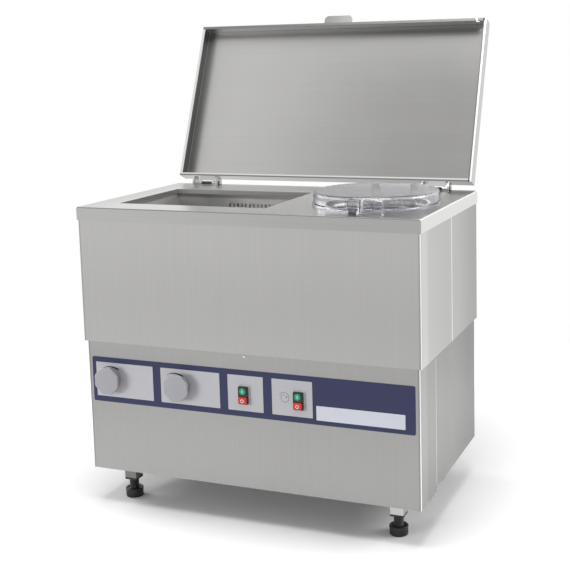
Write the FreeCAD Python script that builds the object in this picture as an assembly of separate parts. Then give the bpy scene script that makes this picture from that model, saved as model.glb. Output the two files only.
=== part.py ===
import FreeCAD, Part
import math
import os

V = FreeCAD.Vector
X_AXIS = V(1, 0, 0)
Y_AXIS = V(0, 1, 0)
Z_AXIS = V(0, 0, 1)

# How far a cutting shape runs past the faces it cuts
OVERRUN = 1.0

# Whole machine, millimetres. X runs across the front, Y to the back, Z up from the floor.
WIDTH = 1050.0
DEPTH = 600.0
WORKTOP_Z = 900.0
FLOOR_CLEARANCE = 107.0

# Sheet metal, with panels a little thicker than the real folded sheet
SHEET = 3.0
BEND_R = 2.5
SEAM_GAP = 1.0
SEAT_GAP = 0.3
SNUG_GAP = 0.1

# Worktop with its folded rim
RIM_DROP = 38.0
TOP_BEND_R = 2.0

# Upper apron: two U-folded sheets that meet at a seam on each side
UPPER_INSET = 3.0
UPPER_HEIGHT = 362.0
UPPER_SEAM_FROM_FRONT = 301.0

# Lower body, set back under the apron, with its seam further forward
LOWER_INSET = 10.0
LOWER_SEAM_FROM_FRONT = 146.0
LOWER_OVERLAP = 40.0
REAR_LIFT = 9.0
BOTTOM_RETURN = 22.0
PAN_SHEET = 3.0

# Corner posts, whose lower ends are the leg stubs, and the screw feet
POST_SIDE = 40.0
POST_WALL = 2.5
FRONT_POST_FROM_SIDE = 90.0
REAR_POST_FROM_SIDE = 130.0
POST_FROM_END = 74.0
POST_BELOW_BODY = 45.0
POST_UNDER_TANK = 32.0
INSERT_FLANGE = 6.0
INSERT_PLUG = 24.0
STEM_R = 14.5
STEM_CORE_R = 8.0
STEM_IN_INSERT = 18.0
FOOT_R = 27.0
FOOT_TOP_R = 22.0
FOOT_HEIGHT = 27.0
FOOT_CHAMFER = 3.0
FOOT_WAIST = 12.0

# Spin dryer under the right part of the worktop, with its clear cover above
COVER_R = 181.0
COVER_HEIGHT = 40.0
COVER_WALL = 5.0
COVER_TOP = 5.0
COVER_EDGE_R = 7.0
COVER_FOOT_W = 4.0
COVER_FOOT_H = 9.0
COVER_FOOT_BEVEL = 2.0
COVER_LIFT = 0.3
COVER_FLAT_CUT = 11.0
COVER_OVER_HOLE = 31.0
DRYER_FROM_RIGHT = 212.0
DRYER_FROM_FRONT = 262.0
CASING_PAST_HOLE = 8.0
CASING_DEPTH = 330.0
DRUM_IN_HOLE = 14.0
DRUM_TOP_DROP = 26.0
DRUM_HEIGHT = 250.0
DRUM_LIP = 16.0
DRUM_CONE_R = 52.0
DRUM_CONE_H = 70.0
DRUM_SLOTS = 12
DRUM_SLOT_W = 8.0
DRUM_SLOT_H = 130.0
SPINDLE_R = 15.0
SPINDLE_HUB = 8.0
SPINDLE_HUB_H = 15.0
SPINDLE_OVER_CONE = 12.0
COLLAR_WALL = 4.0
COLLAR_HEIGHT = 8.0
COLLAR_RIM = 2.0

# Lug with its catch magnet, and the finger block beside it, on the front of the clear cover
LUG_OFFSET = 7.0
LUG_WIDTH = 36.0
LUG_LENGTH = 40.0
LUG_HEIGHT = 36.0
LUG_ROUND = 6.0
LUG_ROOT = 8.0
MAGNET_W = 22.0
MAGNET_D = 16.0
MAGNET_H = 16.0
MAGNET_INSET = 4.0
BLOCK_W = 28.0
BLOCK_X = 56.0
BLOCK_INSET = 2.0
BLOCK_ROOT = 22.0
BLOCK_H = 32.0

# Hinges of the clear cover
COVER_HINGE_X = 62.0
COVER_HINGE_W = 26.0
COVER_PIVOT_BACK = 9.0
COVER_PIVOT_Z = 14.0
COVER_BARREL_R = 5.0
COVER_PIN_R = 2.5
COVER_EAR = 4.0
COVER_EAR_GAP = 0.5
COVER_EAR_EDGE = 1.0
COVER_WEB = 4.0
COVER_LEAF_T = 2.5
COVER_LEAF_H = 18.0

# Washing tank under the left opening of the worktop; its left wall leans in, so the water turns
TANK_FROM_LEFT = 85.0
TANK_TO_DRYER = 126.0
TANK_FROM_FRONT = 100.0
TANK_FROM_BACK = 155.0
TANK_LIP = 14.0
TANK_LEDGE = 6.0
TANK_DEPTH = 330.0
TANK_LEAN = 74.0
TANK_SUMP = 60.0
TANK_SUMP_AT = 0.4
DRAIN_R = 30.0
BASKET_GAP = 5.0
BASKET_UNDER_LIP = 1.0
BASKET_DEPTH = 232.0
BASKET_SHEET = 2.0
BASKET_SLOTS = 12
BASKET_SLOT_W = 6.0
BASKET_SLOT_H = 110.0
BASKET_SLOT_PITCH = 14.0
BASKET_SLOT_DROP = 26.0
BASKET_SLOT_FROM_RIGHT = 124.0

# Steel lid, hinged at the back and shown thrown open
LID_SIDE_GAP = 16.0
LID_FRONT_GAP = 6.0
LID_BACK_GAP = 50.0
LID_DEPTH = 48.0
LID_SHEET = 2.5
LID_HEM = 9.0
LID_NOTCH_R = 6.0
LID_NOTCH_FROM_END = 33.0
LID_NOTCH_DEPTH = 12.0
LID_LEAN = 22.8
LID_CLOSED_GAP = 4.0
LID_WALL_TO_PIVOT = 25.0
LID_PIVOT_Z = 6.0
LID_BARREL_R = 5.0
LID_PIN_R = 3.0
LID_PIN_END = 2.0
LID_HINGE_FROM_END = 109.0
LID_EAR_SPAN = 88.0
LID_EAR = 4.0
LID_EAR_R = 22.0
LID_LEAF_W = 57.0
LID_LEAF_T = 3.0
LID_LEAF_FOOT = 30.0
LID_KNUCKLE_W = 9.0
LID_LEAF_SOLID = 16.0
GRIP_WIDTH = 98.0
GRIP_LENGTH = 25.0
GRIP_SHEET = 3.0
GRIP_CORNER = 14.0
GRIP_CURL = 9.0

# Control strip on the lower front: each window plate is laid out as (gap before it, its width)
STRIP_END_GAP = 14.0
STRIP_DROP = 48.0
STRIP_HEIGHT = 135.0
STRIP_T = 1.5
STRIP_R = 5.0
PLATE_T = 0.8
PLATE_R = 1.5
PLATE_TOP_GAP = 15.0
PLATE_BOTTOM_GAP = 17.0
PLATE_LAYOUT = ((13.0, 192.0), (26.0, 191.0), (26.0, 110.0), (27.0, 122.0))
BAR_GAP = 11.0
BAR_END_GAP = 28.0
BAR_RAISE = 13.0
BAR_HEIGHT = 41.0

# Two lobed hand knobs, placed from the left edge of their own plate
KNOB_IN_PLATE = (52.0, 65.0)
KNOB_RAISE = 72.0
KNOB_LOBES = 8
KNOB_R = 41.5
KNOB_SCALLOP_R = 11.0
KNOB_SCALLOP_AT = 49.5
KNOB_BODY = 25.0
KNOB_STANDOFF = 8.0
KNOB_CLEARANCE = 1.5
KNOB_BACK_R = 30.0
KNOB_DISH_R = 25.0
KNOB_DISH = 2.0
KNOB_BEVEL = 3.5
KNOB_FACE = 7.0
BOSS_R = 19.0
BOSS_T = 1.0
SHAFT_R = 6.0
SHAFT_FIT = 0.06
SHAFT_END_GAP = 1.0
SHAFT_TAIL = 12.0
NUT_R = 15.0
NUT_T = 8.0

# Two double push buttons, placed from the left edge of their own plate
BUTTON_IN_PLATE = (51.0, 82.0)
BUTTON_RAISE = 64.0
BEZEL_W = 38.0
BEZEL_H = 58.0
BEZEL_T = 3.0
BEZEL_R = 4.0
HOUSING_W = 29.0
HOUSING_H = 51.0
HOUSING_T = 9.0
HOUSING_R = 2.5
GREEN_R = 9.5
GREEN_UP = 12.5
GREEN_BEVEL = 1.0
GREEN_PROUD = 3.5
RED_W = 26.0
RED_H = 20.0
RED_UP = -13.5
RED_R = 3.0
RED_BEVEL = 1.5
RED_PROUD = 6.0
BUTTON_GAP = 0.5
BUTTON_BASE = 2.0
BUTTON_TRAVEL = 3.0
BUTTON_BACK_GAP = 0.2

# Derived places of the cabinet
RIM_Z = WORKTOP_Z - RIM_DROP
UPPER_Z = RIM_Z - UPPER_HEIGHT
LOWER_Z = FLOOR_CLEARANCE
UNDER_TOP_Z = WORKTOP_Z - SHEET
UPPER_X = WIDTH / 2 - UPPER_INSET
UPPER_Y = DEPTH / 2 - UPPER_INSET
LOWER_X = WIDTH / 2 - LOWER_INSET
LOWER_Y = DEPTH / 2 - LOWER_INSET
UPPER_SEAM_Y = -UPPER_Y + UPPER_SEAM_FROM_FRONT
LOWER_SEAM_Y = -LOWER_Y + LOWER_SEAM_FROM_FRONT
POST_BOTTOM_Z = LOWER_Z - POST_BELOW_BODY
POST_TOP_Z = UNDER_TOP_Z - TANK_DEPTH - SHEET - POST_UNDER_TANK

# Derived places of the dryer and its cover
DRYER_X = WIDTH / 2 - DRYER_FROM_RIGHT
DRYER_Y = -DEPTH / 2 + DRYER_FROM_FRONT
DRYER_HOLE_R = COVER_R - COVER_OVER_HOLE
CASING_R = DRYER_HOLE_R + CASING_PAST_HOLE
DRUM_R = DRYER_HOLE_R - DRUM_IN_HOLE
COVER_Z = WORKTOP_Z + COVER_LIFT
COVER_FLAT = COVER_R - COVER_FLAT_CUT
COVER_FLAT_Y = DRYER_Y + COVER_FLAT
COVER_PIVOT_Y = COVER_FLAT_Y + COVER_PIVOT_BACK
LUG_X = DRYER_X + LUG_OFFSET
LUG_Y = DRYER_Y - COVER_R - LUG_LENGTH

# Derived places of the tank
TANK_X0 = -WIDTH / 2 + TANK_FROM_LEFT
TANK_X1 = DRYER_X - DRYER_HOLE_R - TANK_TO_DRYER
TANK_Y0 = -DEPTH / 2 + TANK_FROM_FRONT
TANK_Y1 = DEPTH / 2 - TANK_FROM_BACK
BASKET_Z1 = WORKTOP_Z - TANK_LIP - BASKET_UNDER_LIP
LEAN_Z = BASKET_Z1 - BASKET_SHEET
TANK_Z0 = UNDER_TOP_Z - TANK_DEPTH
TANK_SLOPE = TANK_LEAN / (LEAN_Z - TANK_Z0 - TANK_SUMP)

# Derived places of the lid
LID_WIDTH = WIDTH - LID_SIDE_GAP * 2
LID_LENGTH = DEPTH - LID_FRONT_GAP - LID_BACK_GAP
LID_HINGE_X = LID_WIDTH / 2 - LID_HINGE_FROM_END
LID_PIVOT_Y = DEPTH / 2 - LID_BACK_GAP + LID_WALL_TO_PIVOT
LID_SWING = math.radians(90.0 + LID_LEAN)

# Derived places of the controls
FRONT_Y = -LOWER_Y
STRIP_FACE_Y = FRONT_Y - STRIP_T
PLATE_FACE_Y = STRIP_FACE_Y - PLATE_T
STRIP_X = LOWER_X - STRIP_END_GAP
STRIP_Z1 = UPPER_Z - STRIP_DROP
STRIP_Z0 = STRIP_Z1 - STRIP_HEIGHT
PLATE_Z0 = STRIP_Z0 + PLATE_BOTTOM_GAP
PLATE_Z1 = STRIP_Z1 - PLATE_TOP_GAP
KNOB_Z = STRIP_Z0 + KNOB_RAISE
KNOB_BACK_Y = PLATE_FACE_Y - KNOB_STANDOFF
KNOB_FACE_Y = KNOB_BACK_Y - KNOB_BODY
BUTTON_Z = STRIP_Z0 + BUTTON_RAISE
HOUSING_FACE_Y = PLATE_FACE_Y - HOUSING_T
BUTTON_BACK_Y = PLATE_FACE_Y - BUTTON_BASE - BUTTON_TRAVEL - BUTTON_BACK_GAP


def plate_spans():
    """Left and right edge of each window plate, laid from the left end of the strip."""
    spans = []
    x = -STRIP_X
    for gap, width in PLATE_LAYOUT:
        x = x + gap + width
        spans.append((x - width, x))
    return spans


PLATE_SPANS = plate_spans()
KNOB_X = [PLATE_SPANS[i][0] + KNOB_IN_PLATE[i] for i in (0, 1)]
BUTTON_X = [PLATE_SPANS[i + 2][0] + BUTTON_IN_PLATE[i] for i in (0, 1)]
BAR_X0 = PLATE_SPANS[-1][1] + BAR_GAP
BAR_X1 = STRIP_X - BAR_END_GAP


def lid_lip():
    """Back lower edge of the open lid: its closed place turned back about the pivot."""
    back = -LID_WALL_TO_PIVOT
    up = LID_CLOSED_GAP - LID_PIVOT_Z
    c = math.cos(LID_SWING)
    s = math.sin(LID_SWING)
    return LID_PIVOT_Y + back * c + up * s, WORKTOP_Z + LID_PIVOT_Z - back * s + up * c


LIP_Y, LIP_Z = lid_lip()
LEAN = math.radians(LID_LEAN)
REAR_MOST = LIP_Y + LID_LENGTH * math.sin(LEAN) + LID_DEPTH * math.cos(LEAN)
CENTRE_Y = -(REAR_MOST + KNOB_FACE_Y) / 2


def box(x0, x1, y0, y1, z0, z1):
    return Part.makeBox(x1 - x0, y1 - y0, z1 - z0, V(x0, y0, z0))


def cyl(r, h, at, axis=Z_AXIS):
    return Part.makeCylinder(r, h, at, axis)


def fuse(shapes):
    first = shapes[0]
    if len(shapes) > 1:
        first = first.fuse(shapes[1:])
    return first.removeSplitter()


def upright_edges(shape, corners):
    """The edges parallel to Z that stand at the given (x, y) corners."""
    found = []
    for e in shape.Edges:
        a = e.Vertexes[0].Point
        b = e.Vertexes[-1].Point
        if abs(a.x - b.x) > 1e-6 or abs(a.y - b.y) > 1e-6:
            continue
        for cx, cy in corners:
            if abs(a.x - cx) < 0.01 and abs(a.y - cy) < 0.01:
                found.append(e)
    return found


def square_corners(x, y, half):
    return [(x + sx * half, y + sy * half) for sx in (-1, 1) for sy in (-1, 1)]


def revolve(points, centre):
    """A closed (radius, height) outline turned once about the upright line at centre."""
    pts = [V(centre[0] + r, centre[1], z) for r, z in points]
    face = Part.Face(Part.makePolygon(pts + [pts[0]]))
    return face.revolve(V(centre[0], centre[1], 0), Z_AXIS, 360)


def prism_y(points, y0, y1):
    """A closed (x, z) outline run along Y."""
    pts = [V(x, y0, z) for x, z in points]
    face = Part.Face(Part.makePolygon(pts + [pts[0]]))
    return face.extrude(V(0, y1 - y0, 0))


def prism_z(points, z0, z1):
    """A closed (x, y) outline run up."""
    pts = [V(x, y, z0) for x, y in points]
    face = Part.Face(Part.makePolygon(pts + [pts[0]]))
    return face.extrude(V(0, 0, z1 - z0))


def u_panel(half_x, y_wall, y_end, z0, z1):
    """A sheet folded to a U in plan: one wall across and two returns that end at y_end."""
    side = 1.0 if y_wall > y_end else -1.0
    outer = box(-half_x, half_x, min(y_wall, y_end), max(y_wall, y_end), z0, z1)
    outer = outer.makeFillet(BEND_R, upright_edges(outer, ((-half_x, y_wall), (half_x, y_wall))))
    far = y_end - side * OVERRUN
    near = y_wall - side * SHEET
    half = half_x - SHEET
    inner = box(-half, half, min(far, near), max(far, near), z0 - OVERRUN, z1 + OVERRUN)
    return outer.cut(inner)


def bottom_return(half_x, y_wall, y_end, z0, width):
    """The inward fold along the bottom of a U panel."""
    side = 1.0 if y_wall > y_end else -1.0
    start = y_wall - side * SHEET / 2
    half = half_x - SHEET / 2
    plate = box(-half, half, min(start, y_end), max(start, y_end), z0, z0 + SHEET)
    far = y_end - side * OVERRUN
    near = y_wall - side * width
    inside = half_x - width
    hole = box(-inside, inside, min(far, near), max(far, near), z0 - OVERRUN, z0 + SHEET + OVERRUN)
    return plate.cut(hole)


def worktop():
    """Folded top with its rim, the tank opening with a drop lip, and the round dryer opening."""
    hx = WIDTH / 2
    hy = DEPTH / 2
    outer = box(-hx, hx, -hy, hy, RIM_Z, WORKTOP_Z)
    corners = ((-hx, -hy), (hx, -hy), (hx, hy), (-hx, hy))
    outer = outer.makeFillet(BEND_R, upright_edges(outer, corners))
    top_edges = [e for e in outer.Edges if e.BoundBox.ZMin > WORKTOP_Z - 0.01]
    outer = outer.makeFillet(TOP_BEND_R, top_edges)
    inner = box(-hx + SHEET, hx - SHEET, -hy + SHEET, hy - SHEET, RIM_Z - OVERRUN, UNDER_TOP_Z)
    shell = outer.cut(inner)
    lip_z = WORKTOP_Z - TANK_LIP
    lip = box(TANK_X0 - SHEET, TANK_X1 + SHEET, TANK_Y0 - SHEET, TANK_Y1 + SHEET, lip_z, WORKTOP_Z - SHEET / 2)
    shell = fuse([shell, lip])
    shell = shell.cut(box(TANK_X0, TANK_X1, TANK_Y0, TANK_Y1, lip_z - OVERRUN, WORKTOP_Z + OVERRUN))
    hole = cyl(DRYER_HOLE_R, SHEET + OVERRUN * 2, V(DRYER_X, DRYER_Y, UNDER_TOP_Z - OVERRUN))
    return shell.cut(hole)


def upper_front():
    y_end = UPPER_SEAM_Y - SEAM_GAP / 2
    wall = u_panel(UPPER_X, -UPPER_Y, y_end, UPPER_Z, UNDER_TOP_Z)
    fold = bottom_return(UPPER_X, -UPPER_Y, y_end, UPPER_Z, LOWER_INSET - UPPER_INSET)
    return fuse([wall, fold])


def upper_rear():
    y_end = UPPER_SEAM_Y + SEAM_GAP / 2
    wall = u_panel(UPPER_X, UPPER_Y, y_end, UPPER_Z, UNDER_TOP_Z)
    fold = bottom_return(UPPER_X, UPPER_Y, y_end, UPPER_Z, LOWER_INSET - UPPER_INSET)
    return fuse([wall, fold])


def lower_front():
    y_end = LOWER_SEAM_Y - SEAM_GAP / 2
    wall = u_panel(LOWER_X, -LOWER_Y, y_end, LOWER_Z, UPPER_Z + LOWER_OVERLAP)
    fold = bottom_return(LOWER_X, -LOWER_Y, y_end, LOWER_Z, BOTTOM_RETURN)
    return bore_for_shafts(fuse([wall, fold]))


def lower_rear():
    y_end = LOWER_SEAM_Y + SEAM_GAP / 2
    z0 = LOWER_Z + REAR_LIFT
    wall = u_panel(LOWER_X, LOWER_Y, y_end, z0, UPPER_Z + LOWER_OVERLAP)
    fold = bottom_return(LOWER_X, LOWER_Y, y_end, z0, BOTTOM_RETURN)
    return fuse([wall, fold])


def floor_pan():
    """Closing plate of the bottom, with a square hole for each post."""
    hx = LOWER_X - SHEET - SEAT_GAP
    hy = LOWER_Y - SHEET - SEAT_GAP
    z0 = LOWER_Z + REAR_LIFT + SHEET
    pan = box(-hx, hx, -hy, hy, z0, z0 + PAN_SHEET)
    half = POST_SIDE / 2 + SEAT_GAP
    for x, y in post_places():
        pan = pan.cut(box(x - half, x + half, y - half, y + half, z0 - OVERRUN, z0 + PAN_SHEET + OVERRUN))
    return pan


def post_places():
    """Front posts first; the rear pair stands nearer to the middle."""
    y = LOWER_Y - POST_FROM_END
    front = LOWER_X - FRONT_POST_FROM_SIDE
    rear = LOWER_X - REAR_POST_FROM_SIDE
    return [(-front, -y), (front, -y), (-rear, y), (rear, y)]


def corner_posts():
    tubes = []
    half = POST_SIDE / 2
    bore = half - POST_WALL
    for x, y in post_places():
        tube = box(x - half, x + half, y - half, y + half, POST_BOTTOM_Z, POST_TOP_Z)
        tube = tube.makeFillet(BEND_R, upright_edges(tube, square_corners(x, y, half)))
        hollow = box(x - bore, x + bore, y - bore, y + bore, POST_BOTTOM_Z - OVERRUN, POST_TOP_Z + OVERRUN)
        tubes.append(tube.cut(hollow))
    return Part.makeCompound(tubes)


def post_inserts():
    """Plastic plug in the end of each post, with a flange as wide as the tube."""
    parts = []
    half = POST_SIDE / 2
    bore = half - POST_WALL - SEAT_GAP
    z0 = POST_BOTTOM_Z - INSERT_FLANGE
    for x, y in post_places():
        cap = box(x - half, x + half, y - half, y + half, z0, POST_BOTTOM_Z)
        cap = cap.makeFillet(BEND_R, upright_edges(cap, square_corners(x, y, half)))
        plug = box(x - bore, x + bore, y - bore, y + bore, POST_BOTTOM_Z - OVERRUN, POST_BOTTOM_Z + INSERT_PLUG)
        hole = cyl(STEM_CORE_R + SEAT_GAP, INSERT_FLANGE + INSERT_PLUG + OVERRUN * 2, V(x, y, z0 - OVERRUN))
        parts.append(fuse([cap, plug]).cut(hole))
    return Part.makeCompound(parts)


def foot_stems():
    parts = []
    z_collar = POST_BOTTOM_Z - INSERT_FLANGE - SEAT_GAP
    z_top = POST_BOTTOM_Z + STEM_IN_INSERT
    outline = (
        (0, FOOT_HEIGHT), (STEM_R, FOOT_HEIGHT), (STEM_R, z_collar),
        (STEM_CORE_R, z_collar), (STEM_CORE_R, z_top), (0, z_top),
    )
    for x, y in post_places():
        parts.append(revolve(outline, (x, y)))
    return Part.makeCompound(parts)


def foot_discs():
    parts = []
    c = FOOT_CHAMFER
    outline = (
        (0, 0), (FOOT_R - c, 0), (FOOT_R, c), (FOOT_R, FOOT_WAIST),
        (FOOT_TOP_R, FOOT_HEIGHT - c), (FOOT_TOP_R - c, FOOT_HEIGHT), (0, FOOT_HEIGHT),
    )
    for x, y in post_places():
        parts.append(revolve(outline, (x, y)))
    return Part.makeCompound(parts)


def wash_tank():
    """A tub whose left wall leans in below the lip and whose floor falls to a drain, open at the top."""
    x0 = TANK_X0 - TANK_LEDGE
    x1 = TANK_X1 + TANK_LEDGE
    y0 = TANK_Y0 - TANK_LEDGE
    y1 = TANK_Y1 + TANK_LEDGE
    z_side = TANK_Z0 + TANK_SUMP
    foot = x0 + TANK_LEAN
    xm = foot + (x1 - foot) * TANK_SUMP_AT
    top = UNDER_TOP_Z + OVERRUN
    inner = prism_y(((x0, top), (x0, LEAN_Z), (foot, z_side), (xm, TANK_Z0), (x1, z_side), (x1, top)), y0, y1)
    outer = prism_y(((x0 - SHEET, UNDER_TOP_Z), (x0 - SHEET, LEAN_Z), (foot - SHEET, z_side - SHEET),
                     (xm, TANK_Z0 - SHEET), (x1 + SHEET, z_side - SHEET), (x1 + SHEET, UNDER_TOP_Z)),
                    y0 - SHEET, y1 + SHEET)
    drain = cyl(DRAIN_R, TANK_SUMP, V(xm, (y0 + y1) / 2, TANK_Z0 - TANK_SUMP / 2))
    return outer.cut(inner).cut(drain)


def basket_outline(inset, z0, z1):
    """Front view of the basket, whose left wall follows the lean of the tank."""
    x0 = TANK_X0 + BASKET_GAP + inset
    x1 = TANK_X1 - BASKET_GAP - inset
    return ((x0, z1), (x0, LEAN_Z), (x0 + TANK_SLOPE * (LEAN_Z - z0), z0), (x1, z0), (x1, z1))


def wash_basket():
    """The perforated washing basket, hung by its rim under the lip, with slots in its back wall."""
    z1 = BASKET_Z1
    z0 = z1 - BASKET_DEPTH
    y0 = TANK_Y0 + BASKET_GAP
    y1 = TANK_Y1 - BASKET_GAP
    t = BASKET_SHEET
    shell = prism_y(basket_outline(0, z0, z1), y0, y1)
    hollow = prism_y(basket_outline(t, z0 + t, z1 + OVERRUN), y0 + t, y1 - t)
    reach = BASKET_GAP + TANK_LEDGE - SEAT_GAP
    x0 = TANK_X0 + BASKET_GAP
    x1 = TANK_X1 - BASKET_GAP
    rim = box(x0 - reach, x1 + reach, y0 - reach, y1 + reach, z1 - t, z1)
    basket = fuse([shell, rim]).cut(hollow)
    slot_z = z1 - BASKET_SLOT_DROP
    half = BASKET_SLOT_W / 2
    for i in range(BASKET_SLOTS):
        x = x1 - BASKET_SLOT_FROM_RIGHT - BASKET_SLOT_PITCH * i
        slot = box(x - half, x + half, y1 - t - OVERRUN, y1 + OVERRUN, slot_z - BASKET_SLOT_H, slot_z)
        basket = basket.cut(slot)
    return basket


def dryer_casing():
    z1 = UNDER_TOP_Z
    z0 = z1 - CASING_DEPTH
    ro = CASING_R + SHEET
    hub = SPINDLE_R + SPINDLE_HUB
    outline = (
        (hub, z0), (ro, z0), (ro, z1), (CASING_R, z1), (CASING_R, z0 + SHEET), (hub, z0 + SHEET),
    )
    return revolve(outline, (DRYER_X, DRYER_Y))


def spin_drum():
    """The spinning basket: thin wall with a curled lip, a raised cone in the floor, slots."""
    z1 = WORKTOP_Z - DRUM_TOP_DROP
    z0 = z1 - DRUM_HEIGHT
    t = BASKET_SHEET
    outline = (
        (SPINDLE_R, z0 + DRUM_CONE_H - t), (DRUM_CONE_R, z0), (DRUM_R, z0), (DRUM_R, z1),
        (DRUM_R - DRUM_LIP, z1), (DRUM_R - DRUM_LIP, z1 - t), (DRUM_R - t, z1 - t),
        (DRUM_R - t, z0 + t), (DRUM_CONE_R + t, z0 + t), (SPINDLE_R, z0 + DRUM_CONE_H + t),
    )
    drum = revolve(outline, (DRYER_X, DRYER_Y))
    z_slot = z0 + (DRUM_HEIGHT - DRUM_SLOT_H) / 2
    half = DRUM_SLOT_W / 2
    for i in range(DRUM_SLOTS):
        slot = box(DRUM_R - t * 2, DRUM_R + t, -half, half, z_slot, z_slot + DRUM_SLOT_H)
        slot.rotate(V(0, 0, 0), Z_AXIS, 360.0 * i / DRUM_SLOTS)
        slot.translate(V(DRYER_X, DRYER_Y, 0))
        drum = drum.cut(slot)
    return drum


def drum_spindle():
    """Hub on the casing floor and the shaft that carries the drum, chamfered at its end."""
    z1 = WORKTOP_Z - DRUM_TOP_DROP - DRUM_HEIGHT + DRUM_CONE_H + SPINDLE_OVER_CONE
    z0 = UNDER_TOP_Z - CASING_DEPTH
    ro = SPINDLE_R - SHAFT_FIT
    hub = SPINDLE_R + SPINDLE_HUB
    outline = (
        (0, z0), (hub, z0), (hub, z0 + SPINDLE_HUB_H), (ro, z0 + SPINDLE_HUB_H + SHEET),
        (ro, z1 - SHEET), (ro - SHEET, z1), (0, z1),
    )
    return revolve(outline, (DRYER_X, DRYER_Y))


def dryer_collar():
    """Rolled rim pressed into the dryer opening, a little proud of the worktop."""
    z0 = UNDER_TOP_Z - COLLAR_HEIGHT
    r = DRYER_HOLE_R
    z1 = WORKTOP_Z + COLLAR_RIM
    outline = (
        (r - COLLAR_WALL, z0), (r, z0), (r, WORKTOP_Z), (r + COLLAR_WALL, WORKTOP_Z),
        (r + COLLAR_WALL, z1), (r - COLLAR_WALL, z1),
    )
    return revolve(outline, (DRYER_X, DRYER_Y))


def cover_outline():
    """Half section of the clear cover: top, quarter-round edge as short chords, wall and foot."""
    z1 = COVER_Z + COVER_HEIGHT
    ri = COVER_R - COVER_WALL
    rf = COVER_R + COVER_FOOT_W
    e = COVER_EDGE_R
    ei = COVER_EDGE_R - COVER_WALL / 2
    b = COVER_FOOT_BEVEL
    angles = [math.radians(a) for a in (0, 30, 60, 90)]
    inside = [(ri - ei + ei * math.sin(a), z1 - COVER_TOP - ei + ei * math.cos(a)) for a in angles]
    outside = [(COVER_R - e + e * math.cos(a), z1 - e + e * math.sin(a)) for a in angles]
    foot = [(ri, COVER_Z), (rf, COVER_Z), (rf, COVER_Z + COVER_FOOT_H - b), (rf - b, COVER_Z + COVER_FOOT_H),
            (COVER_R, COVER_Z + COVER_FOOT_H)]
    return [(0, z1 - COVER_TOP)] + inside + foot + outside + [(0, z1)]


def foot_nose():
    """The foot flange drawn out from the round to the lug by two straight tangents."""
    r = COVER_R + COVER_FOOT_W
    tip_y = LUG_Y + LUG_ROUND
    points = []
    for side in (-1, 1):
        tip_x = LUG_X + side * LUG_WIDTH / 2
        dx = tip_x - DRYER_X
        dy = tip_y - DRYER_Y
        far = math.hypot(dx, dy)
        a = math.atan2(dy, dx) + side * math.acos(r / far)
        points.append(((tip_x, tip_y), (DRYER_X + r * math.cos(a), DRYER_Y + r * math.sin(a))))
    (tip_l, touch_l), (tip_r, touch_r) = points
    return prism_z([touch_l, tip_l, tip_r, touch_r], COVER_Z, COVER_Z + COVER_FOOT_H - COVER_FOOT_BEVEL)


def clear_cover():
    """Shallow clear bowl turned upside down, with a flat at the back, a lug and a finger block."""
    z1 = COVER_Z + COVER_HEIGHT
    ri = COVER_R - COVER_WALL
    bowl = revolve(cover_outline(), (DRYER_X, DRYER_Y))
    big = COVER_R * 2
    bowl = bowl.cut(box(DRYER_X - big, DRYER_X + big, COVER_FLAT_Y, COVER_FLAT_Y + big,
                        COVER_Z - OVERRUN, z1 + OVERRUN))
    half = math.sqrt(COVER_R * COVER_R - COVER_FLAT * COVER_FLAT)
    back = box(DRYER_X - half, DRYER_X + half, COVER_FLAT_Y - COVER_WALL, COVER_FLAT_Y,
               COVER_Z, z1 - COVER_TOP / 2)
    lug = box(LUG_X - LUG_WIDTH / 2, LUG_X + LUG_WIDTH / 2, LUG_Y, LUG_Y + LUG_LENGTH + LUG_ROOT,
              COVER_Z, COVER_Z + LUG_HEIGHT)
    corners = ((LUG_X - LUG_WIDTH / 2, LUG_Y), (LUG_X + LUG_WIDTH / 2, LUG_Y))
    lug = lug.makeFillet(LUG_ROUND, upright_edges(lug, corners))
    block_y = DRYER_Y - COVER_R + BLOCK_INSET
    block = box(LUG_X + BLOCK_X - BLOCK_W / 2, LUG_X + BLOCK_X + BLOCK_W / 2, block_y, block_y + BLOCK_ROOT,
                COVER_Z, COVER_Z + BLOCK_H)
    inside = cyl(ri, COVER_HEIGHT - COVER_TOP - COVER_EDGE_R, V(DRYER_X, DRYER_Y, COVER_Z))
    cover = fuse([bowl, back] + [s.cut(inside) for s in (foot_nose(), lug, block)])
    pocket = box(LUG_X - MAGNET_W / 2 - SNUG_GAP, LUG_X + MAGNET_W / 2 + SNUG_GAP,
                 LUG_Y + MAGNET_INSET - SNUG_GAP, LUG_Y + MAGNET_INSET + MAGNET_D + SNUG_GAP,
                 COVER_Z - OVERRUN, COVER_Z + MAGNET_H + SNUG_GAP)
    return cover.cut(pocket)


def cover_magnet():
    y0 = LUG_Y + MAGNET_INSET
    return box(LUG_X - MAGNET_W / 2, LUG_X + MAGNET_W / 2, y0, y0 + MAGNET_D, COVER_Z, COVER_Z + MAGNET_H)


def cover_knuckles():
    """Hinge leaves on the back of the cover, each with the middle barrel of its hinge."""
    parts = []
    z_p = WORKTOP_Z + COVER_PIVOT_Z
    half = COVER_HINGE_W / 2
    for side in (-1, 1):
        x = DRYER_X + side * COVER_HINGE_X
        barrel = cyl(COVER_BARREL_R, COVER_HINGE_W, V(x - half, COVER_PIVOT_Y, z_p), X_AXIS)
        web = box(x - half, x + half, COVER_FLAT_Y, COVER_PIVOT_Y, z_p - COVER_WEB / 2, z_p + COVER_WEB / 2)
        leaf = box(x - half, x + half, COVER_FLAT_Y, COVER_FLAT_Y + COVER_LEAF_T,
                   z_p - COVER_WEB / 2, z_p + COVER_LEAF_H)
        bore = cyl(COVER_PIN_R + SHAFT_FIT, COVER_HINGE_W + OVERRUN * 2,
                   V(x - half - OVERRUN, COVER_PIVOT_Y, z_p), X_AXIS)
        parts.append(fuse([barrel, web, leaf]).cut(bore))
    return Part.makeCompound(parts)


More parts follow.
